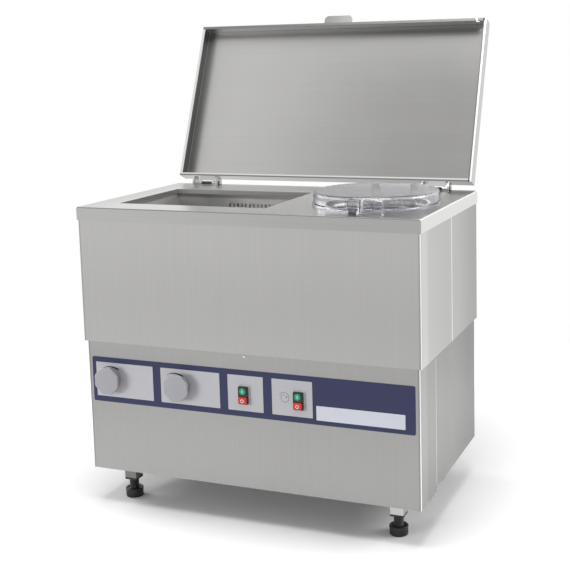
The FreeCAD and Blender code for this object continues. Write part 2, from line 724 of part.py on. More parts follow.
def cover_ears():
    """Pairs of ears on the worktop with the pins that carry the clear cover."""
    parts = []
    z_p = WORKTOP_Z + COVER_PIVOT_Z
    r = COVER_BARREL_R + COVER_EAR_EDGE
    inner = COVER_HINGE_W / 2 + COVER_EAR_GAP
    outer = inner + COVER_EAR
    for side in (-1, 1):
        x = DRYER_X + side * COVER_HINGE_X
        pieces = [cyl(COVER_PIN_R, outer * 2, V(x - outer, COVER_PIVOT_Y, z_p), X_AXIS)]
        for lo in (-outer, inner):
            pieces.append(cyl(r, COVER_EAR, V(x + lo, COVER_PIVOT_Y, z_p), X_AXIS))
            pieces.append(box(x + lo, x + lo + COVER_EAR, COVER_PIVOT_Y - r, COVER_PIVOT_Y + r, WORKTOP_Z, z_p))
        parts.append(fuse(pieces))
    return Part.makeCompound(parts)


def place_on_lid(shape):
    """Lid pieces are drawn upright (Z along the lid, Y into its depth), then leaned back."""
    shape.rotate(V(0, 0, 0), X_AXIS, -LID_LEAN)
    shape.translate(V(0, LIP_Y, LIP_Z))
    return shape


def lid_shell():
    """Shallow folded tray, hemmed inwards all round its mouth, with a small notch in its front lip."""
    hx = LID_WIDTH / 2
    t = LID_SHEET
    outer = box(-hx, hx, 0, LID_DEPTH, 0, LID_LENGTH)
    bends = [e for e in outer.Edges if e.BoundBox.YMin > LID_DEPTH - 0.01]
    outer = outer.makeFillet(BEND_R, bends)
    inner = box(-hx + t, hx - t, t, LID_DEPTH - t, t, LID_LENGTH - t)
    mouth = box(-hx + LID_HEM, hx - LID_HEM, -OVERRUN, t + OVERRUN, LID_HEM, LID_LENGTH - LID_HEM)
    notch_x = hx - LID_NOTCH_FROM_END
    notch_z = LID_LENGTH - LID_NOTCH_DEPTH + LID_NOTCH_R
    deep = LID_DEPTH / 2
    notch = fuse([cyl(LID_NOTCH_R, deep + OVERRUN, V(notch_x, -OVERRUN, notch_z), Y_AXIS),
                  box(notch_x - LID_NOTCH_R, notch_x + LID_NOTCH_R, -OVERRUN, deep,
                      notch_z, LID_LENGTH + OVERRUN)])
    return place_on_lid(outer.cut(inner).cut(mouth).cut(notch))


def lid_grip():
    """Grip tongue bent out of the front lip, with rounded corners and a curled back edge."""
    half = GRIP_WIDTH / 2
    t = GRIP_SHEET
    z0 = LID_LENGTH
    z1 = z0 + GRIP_LENGTH
    tongue = box(-half, half, 0, t, z0, z1)
    across = [e for e in tongue.Edges
              if abs(e.BoundBox.ZMin - z1) < 0.01 and e.BoundBox.YLength > t / 2
              and e.BoundBox.XLength < 0.1]
    tongue = tongue.makeFillet(GRIP_CORNER, across)
    fold = box(-half + GRIP_CORNER, half - GRIP_CORNER, 0, GRIP_CURL, z1 - t, z1)
    root = box(-half, half, 0, GRIP_CURL, z0, z0 + t)
    return place_on_lid(fuse([tongue, fold, root]))


def lid_knuckles():
    """Leaf and barrel of both lid hinges, fixed to the outside of the lid's back wall."""
    parts = []
    half = LID_LEAF_W / 2
    t_p = LID_PIVOT_Z - LID_CLOSED_GAP
    s_p = -LID_WALL_TO_PIVOT
    thin = LID_LEAF_T / 2
    clear = LID_BARREL_R * 2
    for side in (-1, 1):
        x = side * LID_HINGE_X
        barrel = cyl(LID_BARREL_R, LID_LEAF_W, V(x - half, t_p, s_p), X_AXIS)
        leaf = box(x - half, x + half, t_p - thin, t_p + thin, s_p, 0)
        foot = box(x - half, x + half, t_p - thin, LID_LEAF_FOOT, -LID_LEAF_T, 0)
        inner = half - LID_KNUCKLE_W
        window = box(x - inner, x + inner, t_p - clear, t_p + clear, s_p - clear, -LID_LEAF_SOLID)
        bore = cyl(LID_PIN_R + SHAFT_FIT, LID_LEAF_W + OVERRUN * 2, V(x - half - OVERRUN, t_p, s_p), X_AXIS)
        parts.append(place_on_lid(fuse([barrel, leaf, foot]).cut(window).cut(bore)))
    return Part.makeCompound(parts)


def lid_ears():
    """Round-topped ears on the worktop with the pins that carry the lid."""
    parts = []
    z_p = WORKTOP_Z + LID_PIVOT_Z
    outer = LID_EAR_SPAN / 2
    reach = LID_EAR_R + OVERRUN
    for side in (-1, 1):
        x = side * LID_HINGE_X
        end = outer + LID_PIN_END
        pieces = [cyl(LID_PIN_R, end * 2, V(x - end, LID_PIVOT_Y, z_p), X_AXIS)]
        for lo in (-outer, outer - LID_EAR):
            hi = lo + LID_EAR
            round_top = cyl(LID_EAR_R, LID_EAR, V(x + lo, LID_PIVOT_Y, z_p), X_AXIS)
            base = box(x + lo, x + hi, LID_PIVOT_Y - LID_EAR_R, LID_PIVOT_Y + LID_EAR_R, WORKTOP_Z, z_p)
            below = box(x + lo - OVERRUN, x + hi + OVERRUN, LID_PIVOT_Y - reach, LID_PIVOT_Y + reach,
                        WORKTOP_Z - reach, WORKTOP_Z)
            pieces.append(fuse([round_top, base]).cut(below))
        parts.append(fuse(pieces))
    return Part.makeCompound(parts)


def front_plate(x0, x1, z0, z1, face_y, t, r):
    """A thin plate with rounded corners standing on the front, its back at face_y."""
    plate = box(x0, x1, face_y - t, face_y, z0, z1)
    edges = [e for e in plate.Edges if e.BoundBox.YLength > t / 2
             and e.BoundBox.XLength < 1e-3 and e.BoundBox.ZLength < 1e-3]
    return plate.makeFillet(r, edges)


def bore_for_shafts(shape):
    """Holes for the knob spindles through whatever stands on the front."""
    for x in KNOB_X:
        hole = cyl(SHAFT_R + SEAT_GAP, SHEET * 6, V(x, FRONT_Y - SHEET * 3, KNOB_Z), Y_AXIS)
        shape = shape.cut(hole)
    return shape


def control_strip():
    return bore_for_shafts(front_plate(-STRIP_X, STRIP_X, STRIP_Z0, STRIP_Z1, FRONT_Y, STRIP_T, STRIP_R))


def window_plates():
    plates = []
    for x0, x1 in PLATE_SPANS:
        plate = front_plate(x0, x1, PLATE_Z0, PLATE_Z1, STRIP_FACE_Y, PLATE_T, PLATE_R)
        plates.append(bore_for_shafts(plate))
    return Part.makeCompound(plates)


def name_bar():
    z0 = STRIP_Z0 + BAR_RAISE
    return front_plate(BAR_X0, BAR_X1, z0, z0 + BAR_HEIGHT, STRIP_FACE_Y, PLATE_T, PLATE_R)


def knob(i):
    """Hand knob: a bevelled disc scalloped to eight lobes, with a turned-down back."""
    x = KNOB_X[i]
    disc = cyl(KNOB_R, KNOB_BODY, V(x, KNOB_FACE_Y, KNOB_Z), Y_AXIS)
    disc = disc.makeChamfer(KNOB_BEVEL, [e for e in disc.Edges if e.BoundBox.YMax < KNOB_FACE_Y + 0.01])
    for k in range(KNOB_LOBES):
        a = 2 * math.pi * (k + 0.5) / KNOB_LOBES
        at = V(x + KNOB_SCALLOP_AT * math.cos(a), KNOB_FACE_Y - OVERRUN,
               KNOB_Z + KNOB_SCALLOP_AT * math.sin(a))
        disc = disc.cut(cyl(KNOB_SCALLOP_R, KNOB_BODY + OVERRUN * 2, at, Y_AXIS))
    dish = cyl(KNOB_DISH_R, KNOB_DISH, V(x, KNOB_FACE_Y, KNOB_Z), Y_AXIS)
    back = cyl(KNOB_BACK_R, KNOB_STANDOFF - KNOB_CLEARANCE, V(x, KNOB_BACK_Y, KNOB_Z), Y_AXIS)
    bore = cyl(SHAFT_R + SHAFT_FIT, KNOB_BODY + KNOB_STANDOFF - KNOB_FACE,
               V(x, KNOB_FACE_Y + KNOB_FACE, KNOB_Z), Y_AXIS)
    return fuse([disc.cut(dish), back]).cut(bore)


def knob_shafts():
    """Spindles that come out of the panel, each with a thin boss in front and a nut behind."""
    parts = []
    inside_y = FRONT_Y + SHEET
    reach = KNOB_FACE_Y + KNOB_FACE + SHAFT_END_GAP
    for x in KNOB_X:
        shaft = cyl(SHAFT_R, inside_y + SHAFT_TAIL - reach, V(x, reach, KNOB_Z), Y_AXIS)
        boss = cyl(BOSS_R, BOSS_T, V(x, PLATE_FACE_Y - BOSS_T, KNOB_Z), Y_AXIS)
        nut = cyl(NUT_R, NUT_T, V(x, inside_y, KNOB_Z), Y_AXIS)
        parts.append(fuse([shaft, boss, nut]))
    return Part.makeCompound(parts)


def button_bezels():
    parts = []
    hw = HOUSING_W / 2 + SNUG_GAP
    hh = HOUSING_H / 2 + SNUG_GAP
    for x in BUTTON_X:
        ring = front_plate(x - BEZEL_W / 2, x + BEZEL_W / 2, BUTTON_Z - BEZEL_H / 2,
                           BUTTON_Z + BEZEL_H / 2, PLATE_FACE_Y, BEZEL_T, BEZEL_R)
        hole = box(x - hw, x + hw, PLATE_FACE_Y - BEZEL_T - OVERRUN, PLATE_FACE_Y + OVERRUN,
                   BUTTON_Z - hh, BUTTON_Z + hh)
        parts.append(ring.cut(hole))
    return Part.makeCompound(parts)


def button_housings():
    """Black housings with one round and one rectangular well for the two buttons."""
    parts = []
    deep = HOUSING_T - BUTTON_BASE
    hw = RED_W / 2 + BUTTON_GAP
    hh = RED_H / 2 + BUTTON_GAP
    for x in BUTTON_X:
        body = front_plate(x - HOUSING_W / 2, x + HOUSING_W / 2, BUTTON_Z - HOUSING_H / 2,
                           BUTTON_Z + HOUSING_H / 2, PLATE_FACE_Y, HOUSING_T, HOUSING_R)
        well = cyl(GREEN_R + BUTTON_GAP, deep + OVERRUN,
                   V(x, HOUSING_FACE_Y - OVERRUN, BUTTON_Z + GREEN_UP), Y_AXIS)
        slot = box(x - hw, x + hw, HOUSING_FACE_Y - OVERRUN, HOUSING_FACE_Y + deep,
                   BUTTON_Z + RED_UP - hh, BUTTON_Z + RED_UP + hh)
        parts.append(body.cut(well).cut(slot))
    return Part.makeCompound(parts)


def green_button(i):
    tip_y = HOUSING_FACE_Y - GREEN_PROUD
    cap = cyl(GREEN_R, BUTTON_BACK_Y - tip_y, V(BUTTON_X[i], tip_y, BUTTON_Z + GREEN_UP), Y_AXIS)
    front = [e for e in cap.Edges if e.BoundBox.YMax < tip_y + 0.01]
    return cap.makeChamfer(GREEN_BEVEL, front)


def red_button(i):
    x = BUTTON_X[i]
    z = BUTTON_Z + RED_UP
    tip_y = HOUSING_FACE_Y - RED_PROUD
    cap = front_plate(x - RED_W / 2, x + RED_W / 2, z - RED_H / 2, z + RED_H / 2,
                      BUTTON_BACK_Y, BUTTON_BACK_Y - tip_y, RED_R)
    front = [e for e in cap.Edges if e.BoundBox.YMax < tip_y + 0.01]
    return cap.makeChamfer(RED_BEVEL, front)


PARTS = {
    "worktop": worktop,
    "upper_front_panel": upper_front,
    "upper_rear_panel": upper_rear,
    "lower_front_panel": lower_front,
    "lower_rear_panel": lower_rear,
    "floor_pan": floor_pan,
    "corner_posts": corner_posts,
    "post_inserts": post_inserts,
    "foot_stems": foot_stems,
    "foot_discs": foot_discs,
    "wash_tank": wash_tank,
    "wash_basket": wash_basket,
    "dryer_casing": dryer_casing,
    "spin_drum": spin_drum,
    "drum_spindle": drum_spindle,
    "dryer_collar": dryer_collar,
    "clear_cover": clear_cover,
    "cover_magnet": cover_magnet,
    "cover_knuckles": cover_knuckles,
    "cover_ears": cover_ears,
    "lid_shell": lid_shell,
    "lid_grip": lid_grip,
    "lid_knuckles": lid_knuckles,
    "lid_ears": lid_ears,
    "control_strip": control_strip,
    "window_plates": window_plates,
    "name_bar": name_bar,
    "knob_left": lambda: knob(0),
    "knob_right": lambda: knob(1),
    "knob_shafts": knob_shafts,
    "button_bezels": button_bezels,
    "button_housings": button_housings,
    "green_button_left": lambda: green_button(0),
    "green_button_right": lambda: green_button(1),
    "red_button_left": lambda: red_button(0),
    "red_button_right": lambda: red_button(1),
}

os.makedirs("parts", exist_ok=True)
for name, make in PARTS.items():
    solid = make()
    solid.translate(V(0, CENTRE_Y, 0))
    solid.exportStep("parts/" + name + ".step")
    b = solid.BoundBox
    print(name, solid.isValid(), len(solid.Solids), round(solid.Volume / 1000), "cm3",
          [round(v, 1) for v in (b.XMin, b.XMax, b.YMin, b.YMax, b.ZMin, b.ZMax)])
print("CENTRE_Y", CENTRE_Y, "lid pivot", LID_PIVOT_Y + CENTRE_Y, "cover pivot", COVER_PIVOT_Y + CENTRE_Y)
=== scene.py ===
import math
import bmesh
import bpy
import numpy as np
from mathutils import Matrix, Vector


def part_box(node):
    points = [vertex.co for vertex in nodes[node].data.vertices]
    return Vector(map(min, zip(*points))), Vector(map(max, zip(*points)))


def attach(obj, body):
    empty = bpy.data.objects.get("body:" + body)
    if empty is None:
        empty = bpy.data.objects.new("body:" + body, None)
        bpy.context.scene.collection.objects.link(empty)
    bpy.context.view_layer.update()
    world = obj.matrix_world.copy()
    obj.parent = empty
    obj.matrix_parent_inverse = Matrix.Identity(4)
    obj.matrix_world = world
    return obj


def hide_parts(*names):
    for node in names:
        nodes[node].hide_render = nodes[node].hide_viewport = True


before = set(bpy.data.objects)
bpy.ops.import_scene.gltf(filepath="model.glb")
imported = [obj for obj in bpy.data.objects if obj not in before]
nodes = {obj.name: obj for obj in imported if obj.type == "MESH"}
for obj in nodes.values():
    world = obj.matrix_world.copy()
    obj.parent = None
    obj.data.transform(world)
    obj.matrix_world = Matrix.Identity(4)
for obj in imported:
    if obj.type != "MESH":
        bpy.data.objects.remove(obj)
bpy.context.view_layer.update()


# Apron and lower body.
# Satin stainless sheet, U-folded from the front and from the rear. The ground grain stands upright,
# and each side has a seam where the front fold meets the rear one. Painted light in the colour: a
# painted highlight on each fold with painted shade beside it, a painted sheen on the side behind the
# front fold, the front lighter at the left and above, and the side darker towards the rear.

STEEL_TONE = (1.0, 0.992, 0.978)
GRAIN_FINE = 900.0  # waves a metre across the grain
GRAIN_LONG = 2.5  # waves a metre along the grain
COARSE_SHARE = 0.16  # the coarser lines have this share of the fine ones' waves
FOLD_WIDTH = 0.0022
FOLD_HIGHLIGHT = 0.95  # level of the painted highlight on the fold
FOLD_SHADE = 0.30  # how far painted shade darkens the sheet beside a fold
FOLD_SHEEN = 0.18  # how far a painted sheen lifts the side behind the front fold
APRON_LEVEL = (0.425, 0.505)  # front and side
APRON_TOP = (0.60, 0.87)  # heights between which painted light brightens the front
BODY_LEVEL = (0.335, 0.320)
BODY_TOP = (0.40, 0.52)


def side_and_front(name):
    """Right side x and front y of a frame node's box."""
    low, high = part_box(name)
    return float(high[0]), float(low[1])


APRON_SIDE_X, APRON_FRONT_Y = side_and_front("upper_front_panel")
BODY_SIDE_X, BODY_FRONT_Y = side_and_front("lower_front_panel")


class Wire:
    """One value in a node tree; arithmetic on it adds Math nodes, so sums read as sums."""

    def __init__(self, tree, socket):
        self.tree = tree
        self.socket = socket

    def math(self, operation, *values, clamp=False):
        settings = {"operation": operation, "use_clamp": clamp}
        return self.tree.add("ShaderNodeMath", settings, dict(enumerate(values)))

    def __add__(self, other):
        return self.math("ADD", self, other)

    def __radd__(self, other):
        return self.math("ADD", other, self)

    def __sub__(self, other):
        return self.math("SUBTRACT", self, other)

    def __rsub__(self, other):
        return self.math("SUBTRACT", other, self)

    def __mul__(self, other):
        return self.math("MULTIPLY", self, other)

    def __rmul__(self, other):
        return self.math("MULTIPLY", other, self)

    def __abs__(self):
        return self.math("ABSOLUTE", self)

    def __pow__(self, other):
        return self.math("POWER", self, other)

    def high(self, other):
        """The larger of the two."""
        return self.math("MAXIMUM", self, other)

    def clamp(self):
        """The value held between 0 and 1."""
        return self.math("ADD", self, 0.0, clamp=True)

    def step(self, start, end):
        """0 up to start, 1 from end on, an S-curve between; start may be the larger one."""
        settings = {"interpolation_type": "SMOOTHSTEP"}
        inputs = {"Value": self, "From Min": start, "From Max": end}
        return self.tree.add("ShaderNodeMapRange", settings, inputs)

    def band(self, start, end, soft):
        """1 between start and end, 0 outside, each edge softened over soft."""
        return self.step(start - soft, start) * self.step(end + soft, end)


class Finish:
    """The nodes of a material or of the surroundings; add() makes each node but the last."""

    def __init__(self, owner, last, **constants):
        owner.use_nodes = True
        self.owner = owner
        self.nodes = owner.node_tree.nodes
        self.links = owner.node_tree.links
        self.last = self.nodes[last]
        self.point = None
        for key, value in constants.items():
            self.last.inputs[key.replace("_", " ")].default_value = value

    def add(self, kind, settings, inputs, out=0):
        """A node of this type with its settings, then a value or a link for each named socket."""
        node = self.nodes.new(kind)
        for key, value in settings.items():
            setattr(node, key, value)
        for key, value in inputs.items():
            if isinstance(value, Wire):
                self.links.new(value.socket, node.inputs[key])
            elif value is not None:
                node.inputs[key].default_value = value
        return Wire(self, node.outputs[out])

    def feed(self, **wires):
        """Links values that change over the surface to sockets of the last node."""
        for key, wire in wires.items():
            self.links.new(wire.socket, self.last.inputs[key.replace("_", " ")])
        return self

    def place(self):
        """Object coordinates, made once."""
        if self.point is None:
            self.point = self.add("ShaderNodeTexCoord", {}, {}, out="Object")
        return self.point

    def axes(self):
        """x, y and z of the place, in metres."""
        split = self.add("ShaderNodeSeparateXYZ", {}, {0: self.place()})
        return [Wire(self, split.socket.node.outputs[i]) for i in range(3)]

    def noise(self, stretch, detail=2.0, roughness=0.5, shift=(0.0, 0.0, 0.0)):
        """Noise from 0 to 1, with so many waves a metre along each axis."""
        settings = {"operation": "MULTIPLY_ADD"}
        at = self.add("ShaderNodeVectorMath", settings, {0: self.place(), 1: stretch, 2: shift})
        values = {"Vector": at, "Scale": 1.0, "Detail": detail, "Roughness": roughness}
        return self.add("ShaderNodeTexNoise", {}, values)

    def blend(self, factor, first, second):
        """A colour mix: first where factor is 0, second where it is 1."""
        inputs = {"Factor": factor, 6: first, 7: second}
        return self.add("ShaderNodeMix", {"data_type": "RGBA"}, inputs, out=2)

    def bump(self, height, strength, depth):
        """A normal tilted by this relief."""
        inputs = {"Strength": strength, "Distance": depth, "Height": height}
        return self.add("ShaderNodeBump", {}, inputs)

    def plain_rays(self):
        """1 for what the camera sees straight, in metal or through the clear cover, else 0."""
        path = self.add("ShaderNodeLightPath", {}, {}).socket.node.outputs
        seen = Wire(self, path["Is Camera Ray"])
        for kind in ("Is Glossy Ray", "Is Transmission Ray"):
            seen = seen + Wire(self, path[kind])
        return seen.clamp() * (1.0 - Wire(self, path["Diffuse Depth"]).clamp())


def satin_steel(name, grain, level, rough=0.34, fine=GRAIN_FINE, cloud=0.5):
    """Satin sheet with its grain along an axis; cloud sets how uneven it is.

    level says how bright its colour is, painted light and shade included: one number, or a formula
    level(x, y, z). Over it go the fine and the coarse lines of the grain, soft clouds, and wiping marks
    that change only the roughness.
    """
    steel = Finish(bpy.data.materials.new(name), "Principled BSDF", Metallic=1.0)
    stretch = [fine, fine, fine]
    stretch["XYZ".index(grain)] = GRAIN_LONG
    lines = steel.noise(tuple(stretch), detail=3.0, roughness=0.65)
    coarse = steel.noise(tuple(waves * COARSE_SHARE for waves in stretch), detail=2.0)
    clouds = steel.noise((3.1, 2.7, 3.4), detail=3.0, shift=(7.0, 3.0, 1.0))
    wipes = steel.noise((11.0, 12.0, 5.0), detail=4.0, shift=(1.0, 9.0, 4.0))
    stain = (lines - 0.5) * 0.11 + (coarse - 0.5) * 0.09 + (clouds - 0.5) * 0.10 * cloud + 1.0
    bright = stain * (level(*steel.axes()) if callable(level) else level)
    color = steel.blend(bright.clamp(), (0.0, 0.0, 0.0, 1.0), STEEL_TONE + (1.0,))
    roughness = rough + (lines - 0.5) * 0.14 + (wipes - 0.5) * 0.10 * cloud + (coarse - 0.5) * 0.06
    height = lines * 0.7 + coarse * 0.3
    steel.feed(Base_Color=color, Roughness=roughness, Normal=steel.bump(height, 0.12, 0.0003))
    return steel.owner


def wear(material, *names):
    """Gives frame nodes their one material."""
    for name in names:
        mesh = nodes[name].data
        mesh.materials.clear()
        mesh.materials.append(material)


def folded_level(x, y, z, side_x, front_y, levels, top):
    """Painted light. Front: lighter at the left and above. Side: a painted sheen behind the fold,
    darker towards the rear. A painted highlight on the fold, with painted shade beside it.
    """
    plain, flank = levels
    front = plain * 1.06 - x.step(-0.5, 0.5) * plain * 0.09 + z.step(*top) * plain * 0.10
    side = flank - y.step(front_y + 0.05, front_y + 0.28) * flank * 0.10
    side = side - y.step(-0.10, 0.17) * flank * 0.24
    side = side + y.band(front_y + 0.006, front_y + 0.045, 0.03) * flank * FOLD_SHEEN
    at_side = abs(x).step(side_x - 0.0009, side_x - 0.0001)
    level = front + at_side * (side - front)
    near_side = abs(x).step(side_x - 0.010, side_x - 0.002)
    fold_shade_mask = near_side * y.step(front_y + 0.010, front_y + 0.002)
    outer, inner = FOLD_WIDTH * 0.5, FOLD_WIDTH * 1.4
    fold_highlight_mask = abs(x).step(side_x - inner, side_x - outer) * y.step(front_y + inner, front_y + outer)
    # painted shade beside the fold, and a painted highlight on the fold
    level = level * (1.0 - (fold_shade_mask - fold_highlight_mask).clamp() * FOLD_SHADE)
    return level + fold_highlight_mask * (FOLD_HIGHLIGHT - level)


def apron_level(x, y, z):
    return folded_level(x, y, z, APRON_SIDE_X, APRON_FRONT_Y, APRON_LEVEL, APRON_TOP)


def body_level(x, y, z):
    return folded_level(x, y, z, BODY_SIDE_X, BODY_FRONT_Y, BODY_LEVEL, BODY_TOP)


wear(satin_steel("satin_apron", "Z", apron_level), "upper_front_panel", "upper_rear_panel")
wear(satin_steel("satin_body", "Z", body_level), "lower_front_panel", "lower_rear_panel", "floor_pan")


def solid(name, points, faces, body, slot, material, sharp=35.0):
    """A closed mesh piece, its faces turned so that the volume they enclose is positive."""
    mesh = bpy.data.meshes.new(name)
    mesh.from_pydata(points.tolist(), [], faces)
    shape = bmesh.new()
    shape.from_mesh(mesh)
    if shape.calc_volume(signed=True) < 0:
        bmesh.ops.reverse_faces(shape, faces=shape.faces)
    shape.to_mesh(mesh)
    shape.free()
    mesh.shade_smooth()
    mesh.set_sharp_from_angle(angle=math.radians(sharp))
    mesh.materials.append(material)
    piece = bpy.data.objects.new(name, mesh)
    bpy.context.scene.collection.objects.link(piece)
    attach(piece, body)
    return piece


def wrapped_faces(rows, columns, ring):
    """Quads of a grid whose columns run round; a ring of rows joins up, else its ends are capped."""
    index = np.arange(rows * columns).reshape(rows, columns)
    below = index if ring else index[:-1]
    above = np.roll(index, -1, axis=0) if ring else index[1:]
    quads = np.stack([below, np.roll(below, -1, axis=1), np.roll(above, -1, axis=1), above], axis=-1)
    faces = quads.reshape(-1, 4).tolist()
    if not ring:
        faces += [index[0][::-1].tolist(), index[-1].tolist()]
    return faces


def carried(profile, path, up, ring=False, wide=None):
    """A closed profile (u, v) carried along a path, as a ring if the path closes.

    point(s, u, v) = path(s) + wide(s) * u * side(s) + v * up, with side = direction of the path x up.
    """
    path = np.asarray(path, float)
    profile = np.asarray(profile, float)
    along = np.roll(path, -1, 0) - np.roll(path, 1, 0) if ring else np.gradient(path, axis=0)
    up = np.broadcast_to(np.asarray(up, float), path.shape)
    side = np.cross(along, up)
    side /= np.linalg.norm(side, axis=1, keepdims=True)
    wide = np.ones(len(path)) if wide is None else wide
    across = wide[:, None, None] * profile[None, :, :1] * side[:, None, :]
    points = path[:, None, :] + across + profile[None, :, 1:] * up[:, None, :]
    return points.reshape(-1, 3), wrapped_faces(len(path), len(profile), ring)


def turned(profile, centre, axis, spokes=48, reach=None, hold=None):
    """A profile (r, h) turned about an axis; reach(t) is a share of r, and hold says how much it counts.

    point(t, r, h) = centre + h * axis + r * (1 - hold * (1 - reach(t))) * spoke(t)
    """
    profile = np.asarray(profile, float)
    axis = np.asarray(axis, float)
    first = np.array([1.0, 0.0, 0.0]) if abs(axis[0]) < 0.5 else np.array([0.0, 1.0, 0.0])
    second = np.cross(axis, first)
    t = np.arange(spokes) * 2.0 * math.pi / spokes
    spoke = np.cos(t)[:, None] * first + np.sin(t)[:, None] * second
    dip = np.zeros(spokes) if reach is None else 1.0 - reach(t)
    keep = np.zeros(len(profile)) if hold is None else np.asarray(hold, float)
    r = profile[:, :1] * (1.0 - keep[:, None] * dip[None, :])
    points = np.asarray(centre, float) + profile[:, None, 1:] * axis + r[:, :, None] * spoke[None, :, :]
    return points.reshape(-1, 3), wrapped_faces(len(profile), spokes, False)


def half_round(width, height, count=9):
    """Profile of a bead: half an ellipse of this width and height on a flat foot."""
    t = np.linspace(0.0, math.pi, count)
    return np.stack([np.cos(t) * width / 2, np.sin(t) * height], axis=1)


# Painted highlights: the seam beads are coloured near white so that they read as bright lines; the lower
# ones grow darker towards both ends.
SEAM_LIGHT = 0.92
LOW_SEAM_LIGHT = 0.72
LOW_SEAM_DARK = 0.16  # level at both ends of the lower seam
SEAM_POINTS = 24
UPPER_SEAM = (-0.1018, 0.5005, 0.8605, 0.0040, 0.0009)  # y, from z, to z, width, height of the bead
LOWER_SEAM = (-0.2503, 0.1165, 0.4995, 0.0024, 0.0006)


def low_seam_level(x, y, z):
    at_ends = (z.step(0.127, 0.118) + z.step(0.486, 0.494)).clamp()
    return LOW_SEAM_LIGHT - at_ends * (LOW_SEAM_LIGHT - LOW_SEAM_DARK)


seam_steel = satin_steel("seam_bright", "Z", SEAM_LIGHT, rough=0.28)
low_seam_steel = satin_steel("lower_seam_highlight", "Z", low_seam_level, rough=0.32)
for side_name, sign in (("left", -1.0), ("right", 1.0)):
    for seam_name, side_x, sizes, steel in (("upper", APRON_SIDE_X, UPPER_SEAM, seam_steel),
                                            ("lower", BODY_SIDE_X, LOWER_SEAM, low_seam_steel)):
        seam_y, seam_low, seam_high, seam_wide, seam_proud = sizes
        rise = np.linspace(seam_low, seam_high, SEAM_POINTS)
        still = np.ones(SEAM_POINTS)
        line = np.stack([still * sign * side_x, still * seam_y, rise], axis=1)
        bead = carried(half_round(seam_wide, seam_proud), line, (sign, 0.0, 0.0))
        solid("seam_" + seam_name + "_" + side_name, *bead, "cabinet", "satin_steel", steel)

SCREW_AT = (0.0, BODY_FRONT_Y, 0.4915)
SCREW_PROFILE = [(0.0006, -0.0012), (0.0016, -0.0012), (0.0019, -0.0019), (0.0030, -0.0018),
                 (0.0041, -0.0010), (0.0044, 0.0002)]  # recess, crown, edge
SCREW_LEVEL = 0.62
screw_steel = satin_steel("screw_steel", "X", SCREW_LEVEL, rough=0.3, fine=500.0)
screw = turned(SCREW_PROFILE, SCREW_AT, (0.0, 1.0, 0.0), spokes=24)
solid("apron_screw", *screw, "cabinet", "bare_steel", screw_steel)

# Worktop.
# One folded plate with a turned-down rim, ground from left to right. Its colour carries painted light:
# a painted reflection on the top, lighter at the left and dark towards the right where the lid is
# mirrored; the rim lighter at the left and painted bright along the side, with a painted highlight on
# the side's upper edge and painted shade on the front's upper edge.

TOP_Z = 0.900
# Painted light on the rim: its front lighter at the left than at the right, its side painted bright.
RIM_FRONT_LEVEL = (0.475, 0.390)  # at the left and at the right
RIM_SIDE_LEVEL = 0.72
EDGE_HIGHLIGHT = 0.92  # level of the painted highlight on the side's upper edge
EDGE_SHADE = 0.45  # how far painted shade darkens the front's upper edge
RIM_SIDE_X, RIM_FRONT_Y = side_and_front("worktop")


def worktop_level(x, y, z):
    # Painted reflection: the top lighter at the left, dark towards the right where it mirrors the lid.
    top = 0.51 + x.step(-0.52, -0.40) * 0.08 - x.step(-0.15, 0.20) * 0.10 - x.step(0.18, 0.44) * 0.31
    at_left, at_right = RIM_FRONT_LEVEL
    rim_front = at_left - x.step(-0.5, 0.5) * (at_left - at_right)
    at_side = abs(x).step(RIM_SIDE_X - 0.0012, RIM_SIDE_X - 0.0002)
    at_front = y.step(RIM_FRONT_Y + 0.0012, RIM_FRONT_Y + 0.0002)
    level = top + at_front * (rim_front - top)
    level = level + at_side * (RIM_SIDE_LEVEL - level)
    high_edge = z.step(TOP_Z - 0.0040, TOP_Z - 0.0018)
    front_edge = high_edge * y.step(RIM_FRONT_Y + 0.0042, RIM_FRONT_Y + 0.0026)
    side_edge = high_edge * abs(x).step(RIM_SIDE_X - 0.0042, RIM_SIDE_X - 0.0026)
    level = level * (1.0 - front_edge * EDGE_SHADE)
    return level + side_edge * (EDGE_HIGHLIGHT - level)


wear(satin_steel("satin_top", "X", worktop_level, rough=0.32), "worktop")

# Washing tank and basket.
# A welded tub of the same sheet, rougher and cloudier, with a basket hung in it. The basket's back wall
# is slotted, and each web between two slots is pressed a little forward, in a wavy ridge. Painted light
# in the colour: a painted sheen on the back wall from the middle to the right, painted shade on the left
# wall and under the lip, and painted highlights on the ridges.


def tank_level(x, y, z):
    """Painted light. Back wall: a painted sheen from the middle to the right, painted shade under the
    lip.
    Left wall: painted shade.
    """
    wave = z.math("SINE", z * 95.0 + x * 31.0)
    at_back = y.step(0.020, 0.034)
    back = 0.44 + at_back * x.step(-0.34, -0.12) * 0.50 + wave * 0.04
    left_wall_shade = x.step(-0.425, -0.445)
    under_lip_shade = z.step(0.872, 0.880) * at_back
    return back * (1.0 - left_wall_shade * 0.60) * (1.0 - under_lip_shade * 0.55)


tank_steel = satin_steel("tank_steel", "Z", tank_level, rough=0.40, fine=260.0, cloud=1.4)
wear(tank_steel, "wash_tank", "wash_basket")

RIDGE_FIRST = -0.2530
RIDGE_PITCH = 0.014
RIDGE_COUNT = 13
RIDGE_Y = 0.0404
RIDGE_SPAN = (0.752, 0.862)
RIDGE_POINTS = 36
RIDGE_WIDE = 0.0046
RIDGE_PROUD = 0.0013
RIDGE_SWAY = 0.0014
